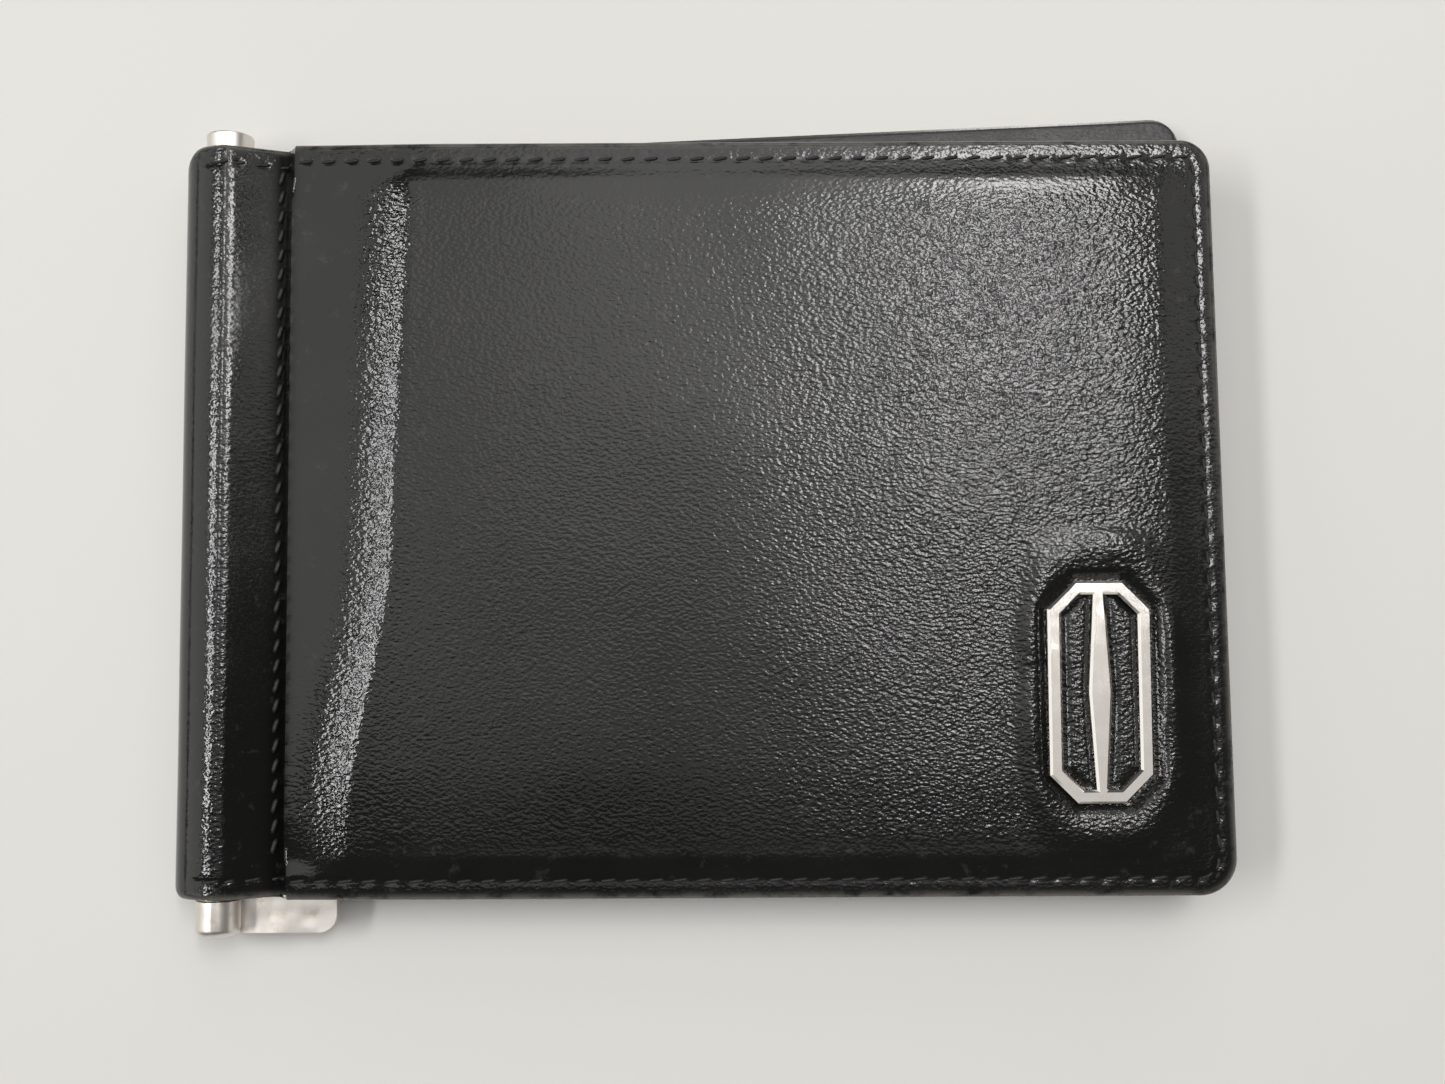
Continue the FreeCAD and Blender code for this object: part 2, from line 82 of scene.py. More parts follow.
# ---- places on the wallet, from the frame
COVER_HIGH = box("front_cover_leather")[1]
TUBE_LOW, TUBE_HIGH = box("clip_tube")
AXIS_X, MID_Z = (TUBE_LOW[0] + TUBE_HIGH[0]) / 2, (TUBE_LOW[2] + TUBE_HIGH[2]) / 2
RIGHT, TOP = COVER_HIGH[0], COVER_HIGH[1]
FACE_W = COVER_HIGH[2] - MID_Z
SEAM_X = middle_x("front_seam_stitches")
SEAM_BOTTOM_W = box("front_seam_stitches")[0][2] - MID_Z
POCKET_X = box("front_pocket_panel")[0][0]
EMBLEM_LOW, EMBLEM_HIGH = box("emblem")
EMBLEM = (EMBLEM_LOW + EMBLEM_HIGH) / 2
EMBLEM_HALF = (EMBLEM_HIGH - EMBLEM_LOW) / 2
SPINE_R = AXIS_X - box("spine_leather")[0][0]

# ---- thicknesses, and the leather over the tube
LEATHER = 1.1
LINING = 0.4
CHANNEL_STRIP = 0.5
SPINE_SHEET = 0.5
INNER_R = SPINE_R - LEATHER
ARC = SPINE_R * math.pi / 2  # length of the leather's quarter turn over the tube
WIDTH = ARC + RIGHT - AXIS_X  # s of the free edge
CROWN_SHIFT = 0.9  # the front leather stands off the tube this much on the seam's side
CROWN = 1.3  # it runs level this far past the tube's axis, then falls towards the seam
UNDER_CROWN_W = 3.05  # its inside, where it starts to fall

# ---- the groove along the front seam, and the slope from it up to the card pockets
LOW_X = SEAM_X + 0.5  # the groove is deepest just past the seam
WALL = 1.0  # width of the groove's steep right wall
GROOVE_DEPTH = 0.45  # below the CAD's seam, at the top of the cover
GROOVE_DEEPER = 0.3  # and this much more towards the bottom
BACK_GROOVE = 0.2  # the back cover's seam is only a shallow dip
SLOPE_HEIGHT = 0.95  # from the groove's wall up to the face
SLOPE_FOOT, SLOPE_FOOT_LENGTH = 0.663, 8.3  # share of its height that it rises along its soft foot
SLOPE_EVEN, SLOPE_EVEN_LENGTH = 0.255, 1.6  # then the share per millimetre, and how far on the ridge lies
RIDGE_TOP = 3.9  # the pockets' edge prints through this far inside the panel's edge at the top
RIDGE_LEAN = 1.6  # it leans towards the spine on the way down
RIDGE_SWEEP = 4.4  # and bends further that way in the bottom half

# ---- heights and depths of the leather's relief
RIDGE_BUMP = 0.04
SEAM_PUFF = 0.08  # between two stitches of the seam
SLOW_WAVES = 0.06
TUBE_WAVES = 0.02
END_SAG = 0.5  # of the slope, near the cover's top and bottom
BORDER_SAG = 0.45  # of the border beside the seam
OUTLINE_SAG = 0.16  # of the border at its outline
LINE_DENT, HOLE_DENT = 0.02, 0.13  # of the edge stitches: all along, and more at the holes
TUBE_DENT = 0.1  # of the edge stitches that cross the tube

# ---- borders, corners and stitches
BORDER = 2.2  # width of the stitched border, outside the padding
BORDER_W = FACE_W - 0.5
LINING_W = FACE_W - 1.9
EDGE_ROLL = 0.65  # radius of the turned-in edges
SHEET_EDGE = 0.92  # a thin sheet's edge is a little blunter than a half circle
SHEET_CORNER = 2.5  # radius of a card pocket's corners
SHEET_WAVE = 0.05
CORNER_FREE = {-1: 4.0, 1: 3.2}  # radii at the bottom and the top of the free edge
CORNER_SPINE = {-1: 1.3, 1: 2.6}
CORNER_LINING = {-1: 3.7, 1: 2.9}
STITCH_INSET = 2.0
EDGE_PITCH = 2.45
SEAM_PITCH = 2.1
STITCH_START, STITCH_SHARE = 0.15, 0.7  # where a stitch starts in its pitch, and how much of it it takes
STITCH_STEPS = np.linspace(0, 1, 9)
STITCH_DIVE = 0.42  # a stitch's ends go this deep
EDGE_SLANT = 0.22
EDGE_THREAD, SEAM_THREAD, POCKET_THREAD = 0.19, 0.3, 0.22  # radii

# ---- how the covers lie
FOLD_X = AXIS_X - 1.1  # the back cover is turned about this place
LEAN = 0.013  # the worn front cover is a little wider at the bottom than at the top
SKEW = math.radians(2.35)  # the back cover lies turned under the front cover
SKEW_SHIFT = 0.4
TABLE_GAP = 0.02  # the back cover lies just on the table

# ---- the emblem, an open octagon with a spindle, and the leather round it
EMBLEM_STROKE = 1.4
EMBLEM_CORNER = 2.9
SPINDLE_HALF, SPINDLE_TAPER = 1.2, 0.65  # half its width, and how much less that is at its ends
EMBLEM_BED_W = BORDER_W - 0.1  # the leather under the strokes
EMBLEM_PUFF_W = BORDER_W + 0.25  # the leather in the openings
EMBLEM_RIM = 0.3  # height of the leather's rim round it
EMBLEM_MARGIN = 0.6
EMBLEM_REACH = (11, 17)  # how far from the emblem's middle the leather is shaped by it

# ---- grids
EDGE_STEPS = ((0.0, 0.07), (0.28, 0.15), (0.9, 0.3))  # (distance from an edge, spacing from there on)
SKIN_EDGE = 4.4  # width of the finer grid along the outer leather's edges
SHEET_BORDER = 3.4  # and along the inner sheets' edges
GOLDEN_ANGLE = 2.399


# ================================================================ small maths
def share(value, start, end):
    """How far a value has come from start to end, from 0 to 1."""
    return np.clip((value - start) / (end - start), 0, 1)


def fade(value, start, end):
    """0 at start to 1 at end, with flat ends."""
    t = share(value, start, end)
    return t * t * (3 - 2 * t)


def bump(value, centre, width):
    """1 at the centre, falling to 0 on both sides."""
    return np.exp(-(((value - centre) / width) ** 2))


def hinge(u, width):
    """0 for low u, u for high u, with the corner between them rounded."""
    return (u + np.sqrt(u * u + width * width)) / 2


def ripple(x, y, length, seed):
    """Smooth uneven surface of about -1 to 1, whose waves are about this long."""
    total = 0.0
    for i in range(7):
        turn = GOLDEN_ANGLE * (i + 1) + seed
        k = 2 * math.pi / (length * (0.7 + 0.13 * i))
        total = total + np.sin(k * (x * math.cos(turn) + y * math.sin(turn)) + seed * (i + 2.3))
    return total / 4.2


def own_seed(name):
    """A seed of its own for each piece."""
    return (sum(ord(c) * (i + 1) for i, c in enumerate(name)) % 97) / 7.0


def lines(*stations):
    """Grid lines from (place, spacing up to the next place) pairs; an odd number of them."""
    found = [stations[0][0]]
    for (a, step), (b, _) in zip(stations, stations[1:]):
        found += list(np.linspace(a, b, max(2, int(round((b - a) / step)) + 1))[1:])
    if len(found) % 2 == 0:
        widest = int(np.argmax(np.diff(found)))
        found.insert(widest + 1, (found[widest] + found[widest + 1]) / 2)
    return np.array(found)


def near_edge(low, border, inner):
    """Stations from a sheet's low edge inwards."""
    return [(low + d, step) for d, step in EDGE_STEPS] + [(low + border, inner)]


def far_edge(high, border):
    """Stations outwards to a sheet's high edge."""
    starts = [border] + [d for d, _ in EDGE_STEPS[:0:-1]]
    steps = [step for _, step in EDGE_STEPS[::-1]]
    return [(high - d, step) for d, step in zip(starts, steps)] + [(high, None)]


def sheet_lines(low, high, inner, border=SHEET_BORDER):
    """Grid lines across a sheet, closer together at its two edges."""
    return lines(*near_edge(low, border, inner), *far_edge(high, border))


def smooth_path(points, rounds=3):
    """A line through the plane with its corners cut off, round after round."""
    path = np.array(points, float)
    for _ in range(rounds):
        a, b = path[:-1], path[1:]
        cut = np.stack([0.75 * a + 0.25 * b, 0.25 * a + 0.75 * b], 1).reshape(-1, 2)
        path = np.vstack([path[:1], cut, path[-1:]])
    return path


# ================================================================ meshes
def add_object(name, points, faces, sharp=35, **layers):
    """Mesh object from points in millimetres. It keeps its rest places for the materials."""
    points = np.asarray(points, float)
    mesh = bpy.data.meshes.new(name)
    mesh.from_pydata((points * MM).tolist(), [], faces)
    work = bmesh.new()
    work.from_mesh(mesh)
    bmesh.ops.recalc_face_normals(work, faces=work.faces)
    work.to_mesh(mesh)
    work.free()
    mesh.shade_smooth()
    mesh.set_sharp_from_angle(angle=math.radians(sharp))
    rest = mesh.attributes.new("rest", "FLOAT_VECTOR", "POINT")
    rest.data.foreach_set("vector", points.astype(np.float32).ravel())
    for layer, values in layers.items():
        made = mesh.attributes.new(layer, "FLOAT", "POINT")
        made.data.foreach_set("value", np.asarray(values, np.float32))
    obj = bpy.data.objects.new(name, mesh)
    bpy.context.scene.collection.objects.link(obj)
    return obj


def grid_faces(ids):
    quads = np.stack([ids[:-1, :-1], ids[1:, :-1], ids[1:, 1:], ids[:-1, 1:]], -1)
    return quads.reshape(-1, 4).tolist()


def rim_of(ids):
    return np.concatenate([ids[:-1, 0], ids[-1, :-1], ids[:0:-1, -1], ids[0, :0:-1]])


def rim_faces(fine, coarse):
    """Faces between a rim and another one with half as many points."""
    faces = []
    for k in range(len(coarse)):
        trio = [fine[2 * k], fine[2 * k + 1], fine[(2 * k + 2) % len(fine)]]
        faces.append([int(v) for v in [coarse[k], *trio, coarse[(k + 1) % len(coarse)]]])
    return faces


def slab(name, s, y, outer, inner, **layers):
    """Closed sheet between two faces over the grid lines s and y. The inner face uses every second line."""
    s_grid, y_grid = np.meshgrid(s, y, indexing="ij")
    top = outer(s_grid, y_grid)
    low = inner(s_grid[::2, ::2], y_grid[::2, ::2])
    top_ids = np.arange(top[..., 0].size).reshape(top.shape[:2])
    low_ids = np.arange(low[..., 0].size).reshape(low.shape[:2]) + top_ids.size
    faces = grid_faces(top_ids) + grid_faces(low_ids) + rim_faces(rim_of(top_ids), rim_of(low_ids))
    points = np.vstack([top.reshape(-1, 3), low.reshape(-1, 3)])
    values = {}
    for layer, value_at in layers.items():
        values[layer] = np.zeros(len(points))
        values[layer][: top_ids.size] = value_at(s_grid, y_grid).ravel()
    return add_object(name, points, faces, **values)


def thread_points(line, up, radius, turn):
    """Rings of points round a thread's centreline, which thins out at both ends."""
    along = np.gradient(line, axis=0)
    along /= np.linalg.norm(along, axis=1)[:, None]
    across = np.cross(along, up)
    across /= np.linalg.norm(across, axis=1)[:, None]
    lift = np.cross(across, along)
    t = np.linspace(-1, 1, len(line))
    swell = radius * np.sqrt(np.maximum(1 - t ** 6, 0.02))
    points = []
    for c, a, l, r in zip(line, across, lift, swell):
        points += list(c + r * (np.cos(turn)[:, None] * a + np.sin(turn)[:, None] * l))
    return points


def thread_faces(first, rows, sides):
    """Side and end faces of a thread whose points start at the number first."""
    faces = []
    for i in range(rows - 1):
        for j in range(sides):
            k = (j + 1) % sides
            a, b = first + i * sides, first + (i + 1) * sides
            faces.append([a + j, b + j, b + k, a + k])
    faces.append([first + j for j in range(sides)])
    faces.append([first + (rows - 1) * sides + j for j in range(sides)][::-1])
    return faces


def make_threads(name, stitches, radius, sides=7):
    """Short threads, from the centreline of each and the direction that is up from its leather."""
    points, faces = [], []
    turn = np.linspace(0, 2 * math.pi, sides, endpoint=False)
    for line, up in stitches:
        faces += thread_faces(len(points), len(line), sides)
        points += thread_points(line, up, radius, turn)
    return add_object(name, points, faces, sharp=80)


# ================================================================ shape of the covers
def laid(side, x, y):
    """Where a point of a flat cover lies: the front is worn wider at the bottom, the back is turned."""
    if side == FRONT:
        return x - LEAN * y * share(x, AXIS_X, RIGHT), y
    begun = fade(x, AXIS_X, POCKET_X)
    turn, shift = SKEW * begun, SKEW_SHIFT * begun
    dx = x - FOLD_X
    return FOLD_X + dx * np.cos(turn) - y * np.sin(turn), dx * np.sin(turn) + y * np.cos(turn) + shift


def rounded(x, y, radii=CORNER_FREE, right=RIGHT, top=TOP):
    """Pulls a square grid's free corners in, so that its lines run round them."""
    for sign, r in radii.items():
        a, b = x - (right - r), sign * y - (top - r)
        both = (a > 0) & (b > 0)
        k = np.where(both, np.maximum(a, b) / np.maximum(np.hypot(a, b), 1e-9), 1)
        x, y = np.where(both, right - r + a * k, x), np.where(both, sign * (top - r + b * k), y)
    return x, y


def spine_pull(x, y):
    """How far the leather's ends are cut back at the spine's two rounded corners."""
    out = x - (AXIS_X - SPINE_R)
    pull = 0.0
    for sign, r in CORNER_SPINE.items():
        depth = r - np.sqrt(np.maximum(r * r - np.maximum(r - out, 0) ** 2, 0))
        pull = pull - sign * depth * fade(sign * y, TOP - 7, TOP)
    return pull


def from_edge(s, y):
    """Distance from a cover's free edges."""
    return np.minimum(np.where(s < ARC, FAR, WIDTH - s), TOP - np.abs(y))


def octagon(x, y):
    """Distance outside the emblem's octagon."""
    w, h = EMBLEM_HALF[0], EMBLEM_HALF[1]
    ax, ay = np.abs(x - EMBLEM[0]), np.abs(y - EMBLEM[1])
    return np.maximum(np.maximum(ax - w, ay - h), (ax + ay - (w + h - EMBLEM_CORNER)) / math.sqrt(2))


def off_metal(x, y):
    """Distance from the emblem's strokes."""
    ring = np.abs(octagon(x, y) + EMBLEM_STROKE / 2) - EMBLEM_STROKE / 2
    ay = np.abs(y - EMBLEM[1])
    spindle = np.abs(x - EMBLEM[0]) - (SPINDLE_HALF - SPINDLE_TAPER * share(ay, 0, EMBLEM_HALF[1]))
    return np.minimum(ring, np.where(ay < EMBLEM_HALF[1], spindle, FAR))


def off_oval(x, y):
    """Distance outside a rounded outline a little larger than the emblem."""
    wide, tall = EMBLEM_HALF[0] + EMBLEM_MARGIN, EMBLEM_HALF[1] + EMBLEM_MARGIN
    across, along = np.abs(x - EMBLEM[0]) / wide, np.abs(y - EMBLEM[1]) / tall
    return ((across ** 3 + along ** 3) ** (1 / 3) - 1) * wide


def around_emblem(x, y, w):
    """The leather is pressed down by the emblem, stands up a little round it and puffs into its openings."""
    outside = octagon(x, y) > 0
    rim = EMBLEM_RIM * bump(off_oval(x, y), 1.4, 1.2) * (1 + 0.6 * ripple(x, y, 11, 5.0))
    level = np.where(outside, w + rim, EMBLEM_PUFF_W)
    return EMBLEM_BED_W + (level - EMBLEM_BED_W) * fade(off_metal(x, y), 0, np.where(outside, 1.3, 0.8))


def ridge_x(y):
    """Where the card pockets' spine-side edge prints through the front leather."""
    return POCKET_X + RIDGE_TOP - RIDGE_LEAN * fade(y, 38, -7) - RIDGE_SWEEP * fade(y, -3, -33)


def slope_start_w(x, y):
    """w at the foot of the slope to the pockets, lower near the cover's top and bottom."""
    ends = fade(np.abs(y), TOP - 9, TOP - 1) * fade(x, SEAM_X + 10, SEAM_X + 1)
    return FACE_W - SLOPE_HEIGHT - END_SAG * ends


def slope_rise(side, x, y):
    """How far the leather has risen from the seam's side to the ridge: softly at first, then evenly."""
    even_x = (ridge_x(y) if side == FRONT else POCKET_X) - SLOPE_EVEN_LENGTH
    foot = SLOPE_FOOT * share(x, even_x - SLOPE_FOOT_LENGTH, even_x) ** 3.2
    even = SLOPE_EVEN * np.clip(x - even_x, 0, 4)
    return SLOPE_HEIGHT * (1.02 - hinge(1.02 - foot - even, 0.16))


def back_seam_w(x, y):
    """w of the back leather over the tube, across its shallow seam and up to the pockets."""
    floor = SPINE_R - BACK_GROOVE
    wall = (slope_start_w(x, y) - floor) * fade(x, SEAM_X + 0.2, SEAM_X + 1.5)
    return np.where(x < SEAM_X, SPINE_R, floor + wall + slope_rise(BACK, x, y))


def front_seam_w(x, y):
    """w of the front leather over the tube, down into the groove, up its wall and up to the pockets."""
    floor = SEAM_BOTTOM_W - GROOVE_DEPTH - GROOVE_DEEPER * fade(y, 36, -14)
    fall = (SPINE_R - floor) / (LOW_X - AXIS_X - CROWN)
    fallen = hinge((x - AXIS_X - CROWN) * fall, 0.3) - hinge(-CROWN * fall, 0.3)
    wall = (slope_start_w(x, y) - floor) * share(x, LOW_X, LOW_X + WALL)
    return np.where(x < LOW_X, SPINE_R - fallen, floor + wall + slope_rise(FRONT, x, y))


def front_relief(x, y):
    """The pockets' edge that prints through, and the leather's puffs between the seam's stitches."""
    ridge = RIDGE_BUMP * bump(x, ridge_x(y) + 0.2, 1.0) * (0.85 + 0.3 * ripple(y, x, 17, 2.0))
    puffs = 0.5 + 0.5 * np.cos(2 * math.pi * y / SEAM_PITCH)
    return ridge + SEAM_PUFF * puffs * bump(x, SEAM_X + 1.3, 0.42)


def border_w(side, x, y, w):
    """w of the stitched border, which is drawn down, most of all at its outline and beside the seam."""
    border = np.minimum(BORDER_W, w)
    if side == FRONT:
        border = np.where(x > SEAM_X + 1.5, BORDER_W - BORDER_SAG * fade(x, SEAM_X + 18, SEAM_X), border)
    d = np.minimum(RIGHT - x, TOP - np.abs(y))
    return border - OUTLINE_SAG * (1 - share(d, 0, 2.4)) * fade(x, AXIS_X, AXIS_X + 3)


def puff(x, y):
    """0 on the border to 1 on the padded face, steep at first and then gentle."""
    dx, dy = RIGHT - x, TOP - np.abs(y)
    gentle = np.where(y < 0, 12, 6)
    puff_x = 0.5 * fade(dx, BORDER, BORDER + 4) + 0.5 * fade(dx, BORDER, BORDER + 9)
    puff_y = 0.5 * fade(dy, BORDER, BORDER + 2.4) + 0.5 * fade(dy, BORDER, BORDER + gentle)
    return puff_x * puff_y


def stitch_dent(x, y):
    """The edge stitches pull a line into the leather, deepest at their holes."""
    dx, dy = RIGHT - x, TOP - np.abs(y)
    along = np.where(dx < dy, y, x)
    holes = 0.5 + 0.5 * np.cos(2 * math.pi * along / EDGE_PITCH)
    return (LINE_DENT + HOLE_DENT * holes ** 2) * bump(np.minimum(dx, dy), STITCH_INSET, 0.32)


def cover_w(side, x, y):
    """w of the leather's outside over the flat part of a cover, without its rolled edges."""
    w = front_seam_w(x, y) + front_relief(x, y) if side == FRONT else back_seam_w(x, y)
    w = w + SLOW_WAVES * ripple(x, y, 26, 1.0 + side) * fade(x, SEAM_X, SEAM_X + 12)
    border = border_w(side, x, y, w)
    w = border + (w - border) * puff(x, y)
    if side == FRONT:
        near = (np.abs(x - EMBLEM[0]) < EMBLEM_REACH[0]) & (np.abs(y - EMBLEM[1]) < EMBLEM_REACH[1])
        w = np.where(near, around_emblem(x, y, w), w)
    else:
        w = np.minimum(w, FACE_W - TABLE_GAP)
    return w - stitch_dent(x, y)


def edge_drop(d):
    """How far a turned-in edge rolls down at a distance d from the outline."""
    return EDGE_ROLL - np.sqrt(np.maximum(EDGE_ROLL ** 2 - np.maximum(EDGE_ROLL - d, 0) ** 2, 0))


def tube_angle(s):
    """Angle round the tube's axis of a place along the leather."""
    return math.pi - s / SPINE_R


def leather_points(side, s, y, on_tube, on_cover):
    """Points of a leather face, from its (x, w) over the tube and its (x, y, w) on the cover."""
    over = s < ARC
    x, w = np.where(over, on_tube[0], on_cover[0]), np.where(over, on_tube[1], on_cover[2])
    pull = spine_pull(np.where(over, on_tube[0], FAR), y)
    px, py = laid(side, x, np.where(over, y, on_cover[1]) + pull)
    return np.stack([px, py, MID_Z + side * w], -1)


def outer_face(side, s, y):
    """Outside of a cover's leather."""
    angle = tube_angle(s)
    drop = edge_drop(from_edge(s, y))
    raised = TUBE_WAVES * ripple(s * 3, y, 24, 7.0)
    dent = TUBE_DENT * bump(TOP - np.abs(y), STITCH_INSET, 0.36) * fade(s, ARC - 2.8, ARC - 1.8)
    shift = 0.0
    if side == FRONT:
        shift = CROWN_SHIFT * np.where(s < ARC, np.sin(angle) ** 2, fade(s, ARC + 3.2, ARC))
    r = SPINE_R + raised - drop - dent
    x = AXIS_X + s - ARC + shift
    w = cover_w(side, x, y) + raised * fade(s, ARC + 4, ARC + 1) - drop
    on_tube = AXIS_X + r * np.cos(angle) + shift, r * np.sin(angle)
    return leather_points(side, s, y, on_tube, (*rounded(x, y), w))


def under_leather(side, x):
    """w of the leather's inside, from over the tube across the seam to under the padding."""
    over = x - AXIS_X
    if side == BACK:
        return np.interp(over, [0, 3], [INNER_R, LINING_W])
    seam, low = SEAM_X - AXIS_X, SEAM_BOTTOM_W - LEATHER
    places = [0, 1.4, seam - 0.4, seam + 0.4, seam + 1.7]
    return np.interp(over, places, [INNER_R, UNDER_CROWN_W, low, low, LINING_W])


def inner_face(side, s, y):
    """Inside of a cover's leather and padding."""
    angle = tube_angle(s)
    x = AXIS_X + s - ARC
    on_tube = AXIS_X + INNER_R * np.cos(angle), INNER_R * np.sin(angle)
    return leather_points(side, s, y, on_tube, (*rounded(x, y), under_leather(side, x)))


def edge_wear(s, y):
    """Where the leather's corners and edges are rubbed paler."""
    return bump(from_edge(s, y), 0.3, 0.35)


def grain_depth(side, s, y):
    """The grain is stretched flat over the tube, beside the seam and on the slope to the border."""
    x, ridge = AXIS_X + s - ARC, ridge_x(y)
    from_top = TOP - np.abs(y)
    d = np.minimum(WIDTH - s, from_top)
    face = fade(x, ridge - 9, ridge - 3) * (0.3 + 0.7 * fade(d, 5, 7.5)) * (0.5 + 0.5 * fade(x, 0, 20))
    face = face + 0.55 * bump(x, ridge - 2.4, 3.2) * fade(from_top, 3, 6)
    if side == BACK:
        return 0.3 + 0.7 * face
    crown = 0.8 * bump(s, ARC - 0.3, 1.6)
    rim = 0.5 * bump(d, 1.3, 0.8)
    return np.maximum(np.maximum(face, crown), np.maximum(rim, 0.16))


def groove_matte_shade_mask(s, _):
    """Where the groove along the seam is kept dark: partly the leather left matte there, partly painted
    shade for the groove's shadow.
    """
    return np.minimum(1.4 * bump(AXIS_X + s - ARC, SEAM_X + 0.4, 1.1), 1)


def skin_lines(side):
    """Grid lines of a cover's leather, closer together where it bends, at its edges and at the emblem."""
    low, pockets = ARC + LOW_X - AXIS_X, ARC + POCKET_X - AXIS_X
    across = [(0, 0.35), (ARC - 2.2, 0.12), (ARC + 1.6, 0.3)]
    across += [(low - 1.6, 0.22), (low, 0.22), (low + WALL, 0.22), (low + WALL + 1.2, 0.3)]
    across += [(pockets - 3.5, 0.24), (pockets + 5.5, 0.8)]
    along = near_edge(-TOP, SKIN_EDGE, 0.45)
    if side == FRONT:
        across += [(ARC + EMBLEM[0] - 9 - AXIS_X, 0.3)]
        along += [(EMBLEM[1] - 14.5, 0.3), (EMBLEM[1] + 14.5, 0.45)]
    return lines(*across, *far_edge(WIDTH, SKIN_EDGE)), lines(*along, *far_edge(TOP, SKIN_EDGE))


def bend_with_cover(obj):
    """Bakes the piece's place into its mesh."""
    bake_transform(obj)


def make_skin(side):
    """Outer leather of one cover, with its half of the spine."""
    name = SIDE_NAMES[side]
    layers = {"wear": edge_wear, "grain": partial(grain_depth, side), "matte_and_painted_shade": groove_matte_shade_mask}
    faces = partial(outer_face, side), partial(inner_face, side)
    skin = slab(name + "_skin", *skin_lines(side), *faces, **layers)
    dress(skin, "outer_leather")
    bend_with_cover(skin)
    extra = ["spine_leather"] if side == FRONT else []
    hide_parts(name + "_cover_leather", name + "_fold_leather", name + "_padding", *extra)


# ================================================================ stitches
def stitch_lift(rise, dive):
    """Height above the leather along a stitch, which dives into it at both ends."""
    return rise - dive * np.abs(2 * STITCH_STEPS - 1) ** 5


def stitch_on(side, s0, y0, s1, y1, rise=0.03, slant=0.0):
    """Centreline of one stitch on a cover's leather, and the direction that is up from it."""
    length = math.hypot(s1 - s0, y1 - y0)
    off = slant * (STITCH_STEPS - 0.5)
    s = s0 + (s1 - s0) * STITCH_STEPS - (y1 - y0) / length * off
    y = y0 + (y1 - y0) * STITCH_STEPS + (s1 - s0) / length * off
    angle = tube_angle(min(s0, ARC))
    up = np.array([math.cos(angle), 0, side * math.sin(angle)])
    return outer_face(side, s, y) + stitch_lift(rise, STITCH_DIVE)[:, None] * up, up


def edge_row(side):
    """(s, y) ends of the stitches along the bottom, up the free edge and back along the top."""
    start = ARC - 1.7 if side == FRONT else ARC + 12
    right, y = WIDTH - STITCH_INSET, TOP - STITCH_INSET
    corners = [(start, -y), (right, -y), (right, y), (start, y)]
    places = []
    for (s0, y0), (s1, y1) in zip(corners, corners[1:]):
        count = round(math.hypot(s1 - s0, y1 - y0) / EDGE_PITCH)
        step = np.array([s1 - s0, y1 - y0]) / count
        for i in range(count):
            a = np.array([s0, y0]) + step * (i + STITCH_START)
            places.append((*a, *(a + STITCH_SHARE * step)))
    return places


def seam_row():
    """(s, y) ends of the slanting stitches down the seam."""
    s = ARC + SEAM_X - AXIS_X
    count = int((TOP - 2.4) / SEAM_PITCH)
    middles = [(i + 0.5) * SEAM_PITCH for i in range(-count, count + 1)]
    return [(s - 0.3, y - 0.8, s + 0.1, y + 0.8) for y in middles if abs(y) < TOP - 2.6]


def make_stitches(side):
    edge = [stitch_on(side, *place, slant=EDGE_SLANT) for place in edge_row(side)]
    seam = [stitch_on(side, *place, rise=0.05) for place in seam_row()]
    for row, stitches, radius in (("_edge", edge, EDGE_THREAD), ("_seam", seam, SEAM_THREAD)):
        name = SIDE_NAMES[side] + row
        obj = make_threads(name + "_thread", stitches, radius)
        dress(obj, "thread")
        bend_with_cover(obj)
        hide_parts(name + "_stitches")


def pocket_stitch(side, x, y, w):
    """Centreline of one stitch through a card pocket, and the direction that is up from it."""
    px, py = laid(side, x + 0.1 * (STITCH_STEPS - 0.5), y)
    pz = MID_Z + side * (w - stitch_lift(0.08, 0.4))
    return np.stack([px, py, pz], -1), np.array([0.0, 0.0, -side])


def pocket_row(side):
    """Stitches down the card pockets' spine side. Each pocket's own end at the next pocket's mouth."""
    x = middle_x("front_pocket_stitches")
    pockets = [box("front_card_pocket_" + n) for n in ("top", "middle", "bottom")]
    mouths = [high[1] for _, high in pockets]
    ends = [mouth + 1.0 for mouth in mouths[1:]] + [-TOP + STITCH_INSET]
    stitches = []
    for (low, _), mouth, end in zip(pockets, mouths, ends):
        count = round((mouth - 0.5 - end) / EDGE_PITCH)
        pitch = (mouth - 0.5 - end) / count
        for i in range(count):
            y = end + pitch * (i + STITCH_START + STITCH_SHARE * STITCH_STEPS)
            stitches.append(pocket_stitch(side, x, y, low[2] - MID_Z))
    return stitches


def make_pocket_thread(side):
    obj = make_threads(SIDE_NAMES[side] + "_pocket_thread", pocket_row(side), POCKET_THREAD)
    dress(obj, "thread")
    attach(obj, SIDE_NAMES[side] + "_cover")
    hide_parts(SIDE_NAMES[side] + "_pocket_stitches")


# ================================================================ inner sheets
def half_thickness(thickness, d):
    """Half of a sheet's thickness at a distance d from its outline, where it is rounded off."""
    r = thickness / 2
    return np.sqrt(np.maximum(r * r - np.maximum(r - d, 0) ** 2 * SHEET_EDGE, 0))


def both_faces(face):
    """Outer and inner face of a sheet, from one function of (sign, s, y)."""
    return partial(face, 1), partial(face, -1)


